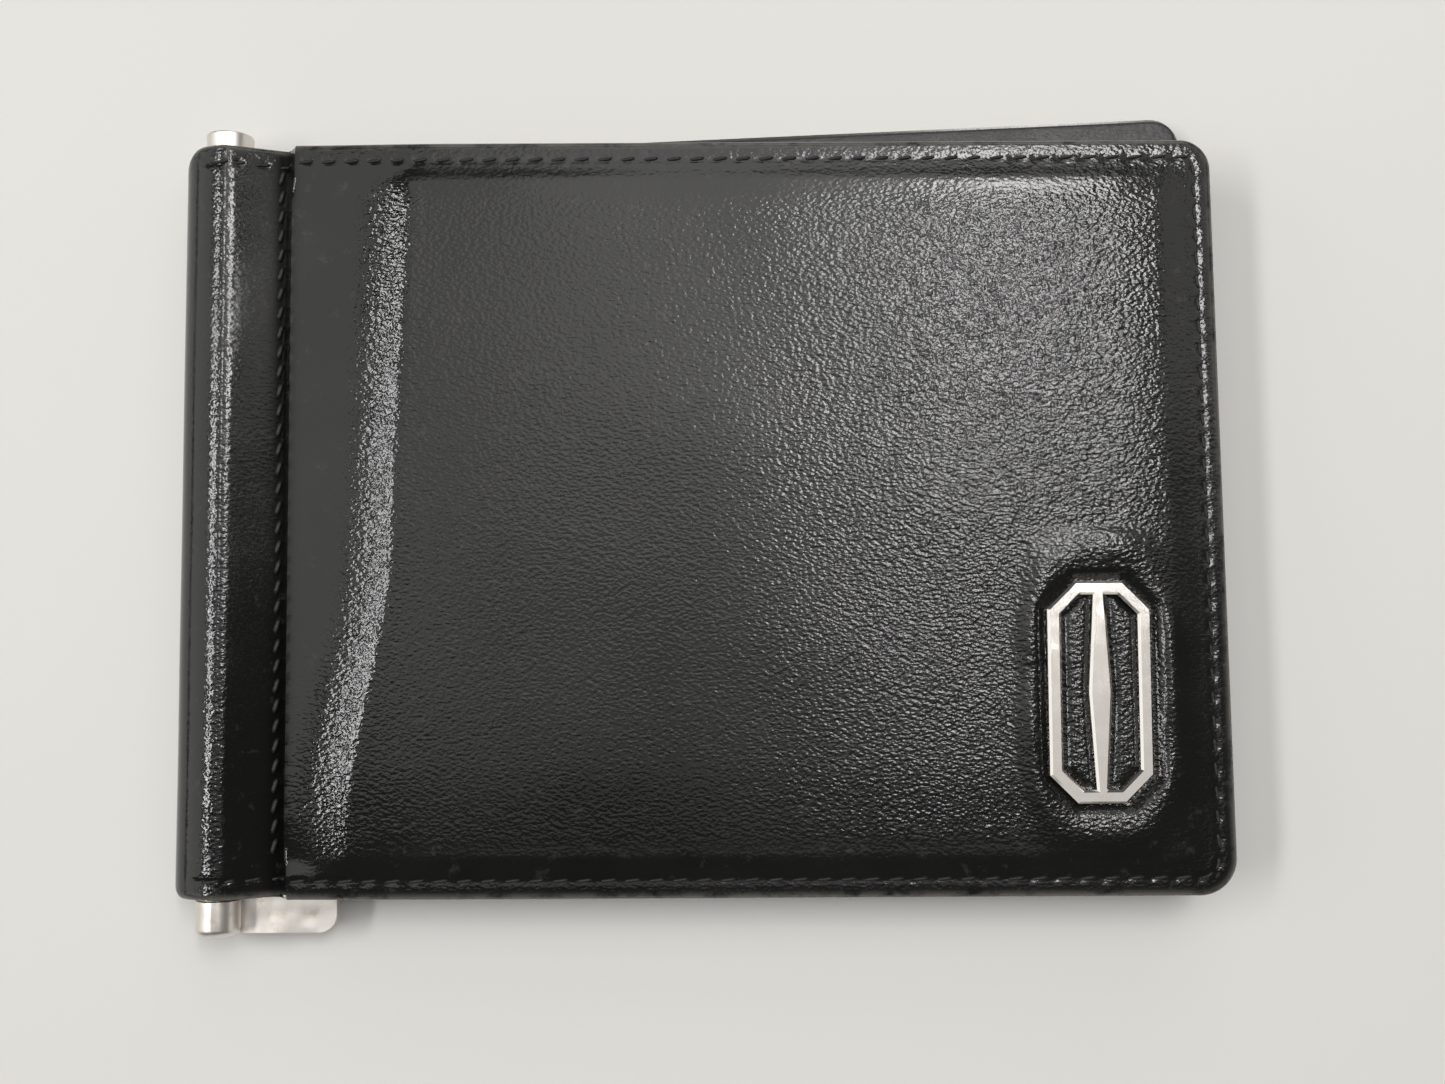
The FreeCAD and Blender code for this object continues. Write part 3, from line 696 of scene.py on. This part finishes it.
def make_flat_sheet(side, node):
    """A panel or card pocket, with the frame's outline and thickness, and a slight wave."""
    name = SIDE_NAMES[side] + "_" + node
    low, high = box("front_" + node)
    middle_y, half_y = (low[1] + high[1]) / 2, (high[1] - low[1]) / 2
    thickness = high[2] - low[2]
    radii = {-1: SHEET_CORNER, 1: SHEET_CORNER}

    def face(sign, s, y):
        d = np.minimum(np.minimum(s - low[0], high[0] - s), np.minimum(y - low[1], high[1] - y))
        x, yy = rounded(s, y - middle_y, radii, high[0], half_y)
        yy = yy + middle_y
        wave = SHEET_WAVE * ripple(x, yy, 21, own_seed(name)) * fade(d, 0, 6)
        w = high[2] - MID_Z - thickness / 2 + sign * half_thickness(thickness, d) + wave
        px, py = laid(side, x, yy)
        return np.stack([px, py, MID_Z + side * w], -1)

    grid = sheet_lines(low[0], high[0], 1.1), sheet_lines(low[1], high[1], 1.1)
    obj = slab(name + "_soft", *grid, *both_faces(face))
    dress(obj, "pocket_leather")
    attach(obj, SIDE_NAMES[side] + "_cover")
    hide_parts(name)


def make_lining(side):
    """Lining: close under the leather at the seam, flat under the padding."""
    name = SIDE_NAMES[side] + "_lining"
    low, high = box("front_lining")

    def face(sign, s, y):
        x, yy = rounded(s, y, CORNER_LINING, high[0], high[1])
        d = np.minimum(high[0] - s, high[1] - np.abs(y))
        w = under_leather(side, s) - 0.02 - LINING / 2 + sign * half_thickness(LINING, d)
        px, py = laid(side, x, yy)
        return np.stack([px, py, MID_Z + side * w], -1)

    across = [(low[0], 0.1), (low[0] + 0.4, 0.4), (SEAM_X + 3, 1.3)]
    across += [(high[0] - 3.4, 0.3), (high[0] - 0.3, 0.1), (high[0], None)]
    obj = slab(name + "_soft", lines(*across), sheet_lines(-high[1], high[1], 1.3), *both_faces(face))
    dress(obj, "lining_leather")
    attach(obj, SIDE_NAMES[side] + "_cover")
    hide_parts(name)


def curved_sheet(name, path, thickness, y0, y1, side, step=1.0):
    """Sheet that follows a path of (x from the tube's axis, w) and runs from y0 to y1."""
    path = np.array(path, float)
    chord = np.concatenate([[0], np.cumsum(np.linalg.norm(np.diff(path, axis=0), axis=1))])
    normal = np.gradient(path, axis=0)[:, ::-1] * (-1, 1)
    normal /= np.linalg.norm(normal, axis=1)[:, None]
    length = chord[-1]

    def face(sign, s, y):
        d = np.minimum(np.minimum(s, length - s), np.minimum(y - y0, y1 - y))
        half = sign * half_thickness(thickness, d)
        x, w = [np.interp(s, chord, path[:, k]) + half * np.interp(s, chord, normal[:, k]) for k in (0, 1)]
        return np.stack([AXIS_X + x, y, MID_Z + side * w], -1)

    across = lines((0, 0.08), (0.3, 0.22), (length - 0.3, 0.08), (length, None))
    return slab(name, across, sheet_lines(y0, y1, step, 1.0), *both_faces(face))


def strip_path(side):
    """The channel strip's way, in (x from the tube's axis, w): round the tube, then flat under the seam."""
    seam = SEAM_X - AXIS_X
    if side == FRONT:
        path = [(2.55, 0.02), (2.5, 0.6), (2.2, 1.25), (1.95, 1.6), (1.78, 1.95), (1.95, 2.15), (2.4, 2.05)]
    else:
        path = [(2.55, 0.02), (2.5, 0.7), (2.15, 1.45), (1.55, 2.05), (1.05, 2.35), (1.1, 2.6), (1.7, 2.62)]
    far = (3.1, 4.2, 5.4, seam - 0.4, seam + 0.4, seam + 1.7, seam + 3.0)
    path += [(x, float(under_leather(side, AXIS_X + x)) - 0.72) for x in far]
    return smooth_path(path)


def make_strip(side):
    """Half of the channel strip. Its bend runs along it like a tunnel's roof, from the cover to the tube."""
    low, high = box("channel_strip")
    name = SIDE_NAMES[side] + "_channel"
    obj = curved_sheet(name, strip_path(side), CHANNEL_STRIP, low[1], high[1], side)
    dress(obj, "pocket_leather")
    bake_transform(obj)
    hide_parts(SIDE_NAMES[side] + "_channel_flap", "channel_strip")


def make_spine_layer(node, outer, slot):
    """Stiffener or lining, curved round the tube on the spine's back."""
    low, high = box(node)
    r = outer - SPINE_SHEET / 2
    path = [(r * math.cos(a), r * math.sin(a)) for a in np.radians(np.linspace(155, 205, 25))]
    obj = curved_sheet(node + "_soft", path, SPINE_SHEET, low[1], high[1], FRONT, 1.6)
    dress(obj, slot)
    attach(obj, "spine")
    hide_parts(node)


# ================================================================ materials
def new_material(name):
    material = bpy.data.materials.new(name)
    material.use_nodes = True
    return material, material.node_tree, material.node_tree.nodes["Principled BSDF"]


def add(tree, kind, **properties):
    """A shader node with its properties set."""
    node = tree.nodes.new(kind)
    for key, value in properties.items():
        setattr(node, key, value)
    return node


def put(tree, node, socket, value):
    """Sets a socket to a constant, or links it."""
    target = node.inputs[socket]
    if isinstance(value, bpy.types.NodeSocket):
        tree.links.new(value, target)
    else:
        target.default_value = value


def rest_place(tree):
    """Place in millimetres on a piece made here, which stays with it when it bends."""
    return add(tree, "ShaderNodeAttribute", attribute_name="rest").outputs["Vector"]


def object_place(tree):
    """Place in millimetres on a rigid piece."""
    scale = add(tree, "ShaderNodeVectorMath", operation="SCALE")
    put(tree, scale, 0, add(tree, "ShaderNodeTexCoord").outputs["Object"])
    put(tree, scale, "Scale", 1 / MM)
    return scale.outputs[0]


def mesh_value(tree, name):
    """A value that the mesh carries at its points."""
    return add(tree, "ShaderNodeAttribute", attribute_name=name).outputs["Fac"]


def noise(tree, place, scale, detail=3.0, rough=0.55):
    node = add(tree, "ShaderNodeTexNoise")
    for socket, value in (("Vector", place), ("Scale", scale), ("Detail", detail), ("Roughness", rough)):
        put(tree, node, socket, value)
    return node.outputs["Fac"]


def ramp(tree, value, low, high, to_low=0.0, to_high=1.0):
    node = add(tree, "ShaderNodeMapRange")
    sockets = {"Value": value, "From Min": low, "From Max": high, "To Min": to_low, "To Max": to_high}
    for socket, v in sockets.items():
        put(tree, node, socket, v)
    return node.outputs["Result"]


def maths(tree, operation, a, b):
    node = add(tree, "ShaderNodeMath", operation=operation)
    put(tree, node, 0, a)
    put(tree, node, 1, b)
    return node.outputs[0]


def mixed(tree, share_of_b, a, b):
    node = add(tree, "ShaderNodeMix", data_type="RGBA")
    for socket, value in ((0, share_of_b), (6, a), (7, b)):
        put(tree, node, socket, value)
    return node.outputs[2]


def bumped(tree, height, strength, distance, normal=None):
    node = add(tree, "ShaderNodeBump")
    put(tree, node, "Height", height)
    put(tree, node, "Strength", strength)
    put(tree, node, "Distance", distance)
    if normal is not None:
        put(tree, node, "Normal", normal)
    return node.outputs[0]


def cells(tree, place, scale):
    node = add(tree, "ShaderNodeTexVoronoi", feature="F1")
    put(tree, node, "Vector", place)
    put(tree, node, "Scale", scale)
    return node.outputs["Distance"]


def stretched(tree, place):
    """The grain's cells are a little longer than wide."""
    node = add(tree, "ShaderNodeMapping")
    put(tree, node, "Vector", place)
    put(tree, node, "Rotation", (0, 0, 0.7))
    put(tree, node, "Scale", (1.0, 1.7, 1.0))
    return node.outputs[0]


def tinted(color, factor):
    return tuple(c * factor for c in color[:3]) + (1.0,)


def grain_height(tree, place, fine):
    """Stretched pebbles with pores between them and fine grain on top."""
    pebbles = noise(tree, stretched(tree, place), 1.9, 1.0, 0.4)
    pores = maths(tree, "MULTIPLY", cells(tree, place, 2.0), -0.3)
    height = maths(tree, "ADD", maths(tree, "MULTIPLY", fine, 0.12), pores)
    return maths(tree, "ADD", height, pebbles)


def worn_color(tree, place, base, worn):
    """Scuffs here and there, and rubbed edges."""
    scuffs = ramp(tree, noise(tree, place, 0.5, 4.0, 0.7), 0.6, 0.78)
    patches = ramp(tree, noise(tree, place, 0.35, 4.0, 0.65), 0.32, 0.52)
    rubbed = maths(tree, "MULTIPLY", mesh_value(tree, "wear"), patches)
    base = mixed(tree, maths(tree, "MULTIPLY", scuffs, 0.18), base, worn)
    return mixed(tree, maths(tree, "MULTIPLY", rubbed, 0.5), base, worn)


def leather(name, color, rough, grain, worn=None):
    """Smooth leather with fine grain and uneven polish; if worn, with paler edges and a groove along the
    seam that is kept dark, partly matte leather and partly painted shade.
    """
    material, tree, shader = new_material(name)
    place = rest_place(tree)
    cloud = noise(tree, place, 0.06, 3.0)
    fine = noise(tree, place, 5.0, 2.0, 0.5)
    base = mixed(tree, ramp(tree, cloud, 0.35, 0.7), color, tinted(color, 1.6))
    height = grain_height(tree, place, fine)
    if worn:
        base = worn_color(tree, place, base, worn)
        height = maths(tree, "MULTIPLY", height, mesh_value(tree, "grain"))
        # in the groove along the seam the reflection is turned nearly off: partly matte leather, partly
        # painted shade for the groove's shadow
        put(tree, shader, "Specular IOR Level", ramp(tree, mesh_value(tree, "matte_and_painted_shade"), 0.0, 1.0, 0.5, 0.06))
    polish = ramp(tree, cloud, 0.3, 0.75, rough - 0.05, rough + 0.06)
    put(tree, shader, "Base Color", base)
    put(tree, shader, "Roughness", maths(tree, "ADD", polish, ramp(tree, fine, 0.3, 0.75, -0.06, 0.08)))
    put(tree, shader, "Normal", bumped(tree, height, grain, 0.00013))
    return material


def metal(name, color, rough, waves, patina=None):
    """Plated or drawn metal with slight waves, and a warmer worn layer if patina is given."""
    material, tree, shader = new_material(name)
    place = object_place(tree)
    fine = noise(tree, place, 9.0, 3.0)
    base = color
    if patina:
        base = mixed(tree, ramp(tree, noise(tree, place, 0.7, 3.0), 0.58, 0.75), color, patina)
    wavy = bumped(tree, noise(tree, place, 0.3, 1.0), waves, 0.0004)
    put(tree, shader, "Base Color", base)
    put(tree, shader, "Metallic", 1.0)
    put(tree, shader, "Roughness", ramp(tree, fine, 0.3, 0.7, rough - 0.03, rough + 0.05))
    put(tree, shader, "Normal", bumped(tree, fine, 0.1, 0.00001, wavy))
    return material


def fibre(name, color, rough, scale):
    """Thread or board: short fibres in one colour."""
    material, tree, shader = new_material(name)
    fine = noise(tree, rest_place(tree), scale, 4.0)
    put(tree, shader, "Base Color", mixed(tree, fine, tinted(color, 0.6), color))
    put(tree, shader, "Roughness", ramp(tree, fine, 0.3, 0.7, rough - 0.05, rough + 0.05))
    put(tree, shader, "Normal", bumped(tree, fine, 0.5, 0.0001))
    return material


def table_top(name):
    """Smooth pale board with faint clouds."""
    material, tree, shader = new_material(name)
    cloud = noise(tree, object_place(tree), 0.004, 2.0)
    put(tree, shader, "Base Color", mixed(tree, cloud, (0.675, 0.665, 0.64, 1.0), (0.70, 0.69, 0.665, 1.0)))
    put(tree, shader, "Roughness", ramp(tree, cloud, 0.0, 1.0, 0.55, 0.62))
    return material


SCUFFED = (0.16, 0.155, 0.14, 1.0)
MATERIALS = {
    "outer_leather": leather("calf_black", (0.0045, 0.0044, 0.0042, 1.0), 0.15, 0.7, worn=SCUFFED),
    "lining_leather": leather("lining_black", (0.014, 0.0135, 0.013, 1.0), 0.55, 0.45),
    "pocket_leather": leather("pocket_black", (0.011, 0.0108, 0.0105, 1.0), 0.45, 0.4),
    "stiffener_board": fibre("fibre_board", (0.35, 0.30, 0.24, 1.0), 0.8, 2.0),
    "thread": fibre("waxed_thread", (0.008, 0.008, 0.008, 1.0), 0.55, 4.0),
    "plated_metal": metal("nickel", (0.78, 0.735, 0.69, 1.0), 0.37, 0.5, patina=(0.64, 0.55, 0.43, 1.0)),
    "emblem_metal": metal("nickel_bright", (0.78, 0.74, 0.70, 1.0), 0.12, 0.12),
    "spring_steel": metal("drawn_steel", (0.5, 0.5, 0.51, 1.0), 0.3, 0.15),
    "bronze": metal("sintered_bronze", (0.6, 0.42, 0.22, 1.0), 0.4, 0.1),
}


def dress(obj, slot):
    """Gives a piece the finish of a material slot of the record."""
    obj.data.materials.clear()
    obj.data.materials.append(MATERIALS[slot])


# ================================================================ metal pieces
SOFT_EDGES = {"clip_plate": 0.08, "clip_knuckle": 0.08, "tube_end_cap": 0.08, "emblem": 0.25}


def make_metal():
    """The frame's metal pieces keep their shape; the edges of those in sight are softened."""
    slots = {s["node"]: s["material_slot"] for s in frame["record"]["subparts"]}
    for name, obj in frame["nodes"].items():
        if obj.hide_render:
            continue
        dress(obj, slots[name])
        if name in SOFT_EDGES:
            soft = obj.modifiers.new("soft edges", "BEVEL")
            soft.width = SOFT_EDGES[name] * MM
            soft.segments = 3
            soft.limit_method = "ANGLE"
            soft.angle_limit = math.radians(30)


# ================================================================ table, light and camera
TABLE_HALF = 4000.0
PANEL_LIGHTS = {
    # name: place, direction, size, brightness, colour
    "ceiling": ((0.09, 0.48, 1.0), (0, 0, -1), (0.56, 0.84), 1.9, (1.0, 0.985, 0.97)),
    "ceiling_bright": ((0.25, 0.32, 0.99), (0, 0, -1), (0.14, 0.5), 16.0, (1.0, 0.985, 0.975)),
    "ceiling_right": ((0.75, 0.5, 1.0), (0, 0, -1), (0.55, 0.7), 0.9, (1.0, 0.99, 0.95)),
    "ceiling_near": ((0.1, -0.09, 1.0), (0, 0, -1), (0.6, 0.26), 0.6, (1.0, 0.985, 0.97)),
    "ceiling_left": ((-0.37, 0.3, 1.0), (0, 0, -1), (0.34, 0.9), 1.15, (1.0, 1.0, 0.96)),
    "left_window": ((-0.755, 0.08, 0.9), (0.755, -0.08, -0.9), (0.7, 0.13), 18.5, (1.0, 1.0, 1.0)),
    "left_wall": ((-1.5, 0.1, 0.6), (1.5, -0.1, -0.6), (1.2, 1.0), 1.1, (1.0, 1.0, 0.96)),
    "right_wall": ((1.6, 0.0, 0.2), (-1.6, 0, -0.1), (2.0, 0.4), 0.9, (1.0, 0.98, 0.94)),
    "near_wall": ((0.0, -1.6, 0.3), (0, 1.6, -0.2), (2.0, 0.6), 0.7, (1.0, 0.98, 0.94)),
    "far_window": ((0.25, 1.6, 0.9), (-0.25, -1.6, -0.9), (1.4, 0.8), 1.2, (1.0, 1.0, 0.99)),
}


def make_table():
    half = TABLE_HALF
    points = [(-half, -half, 0), (half, -half, 0), (half, half, 0), (-half, half, 0)]
    table = add_object("table", points, [[0, 1, 2, 3]])
    table.data.materials.append(table_top("table_pale"))


def panel_light(name, place, direction, size, brightness, color):
    """A panel of even brightness, in watts per square metre and steradian, that faces a direction."""
    data = bpy.data.lights.new(name, "AREA")
    data.shape = "RECTANGLE"
    data.size, data.size_y = size
    data.energy = brightness * math.pi * size[0] * size[1]
    data.color = color
    obj = bpy.data.objects.new(name, data)
    bpy.context.scene.collection.objects.link(obj)
    obj.location = place
    yaw = math.atan2(-direction[0], direction[1])
    pitch = math.atan2(math.hypot(direction[0], direction[1]), -direction[2])
    obj.rotation_euler = (pitch, 0, yaw)


def make_light():
    for name, panel in PANEL_LIGHTS.items():
        panel_light(name, *panel)
    world = bpy.data.worlds.new("room")
    world.use_nodes = True
    background = world.node_tree.nodes["Background"]
    background.inputs["Color"].default_value = (1.0, 1.0, 0.96, 1.0)
    background.inputs["Strength"].default_value = 0.1
    bpy.context.scene.world = world
    bpy.context.scene.view_settings.view_transform = "Standard"


def make_camera():
    """The photo's view, from above and nearly level."""
    data = bpy.data.cameras.new("camera")
    data.sensor_width = 36.0
    data.lens = 37.2
    data.clip_start = 0.01
    camera = bpy.data.objects.new("camera", data)
    camera.location = (0.0024, -0.01308, 0.16581)
    camera.rotation_euler = (math.radians(3.697), math.radians(-0.067), math.radians(-0.302))
    bpy.context.scene.collection.objects.link(camera)
    bpy.context.scene.camera = camera


# ================================================================ build
for side in (FRONT, BACK):
    make_skin(side)
    make_stitches(side)
    make_lining(side)
    make_strip(side)
    make_flat_sheet(side, "pocket_panel")
    for pocket in ("top", "middle", "bottom"):
        make_flat_sheet(side, "card_pocket_" + pocket)
    make_pocket_thread(side)
make_spine_layer("spine_stiffener", INNER_R, "stiffener_board")
make_spine_layer("spine_lining", INNER_R - SPINE_SHEET, "lining_leather")
make_metal()
make_table()
make_light()
make_camera()
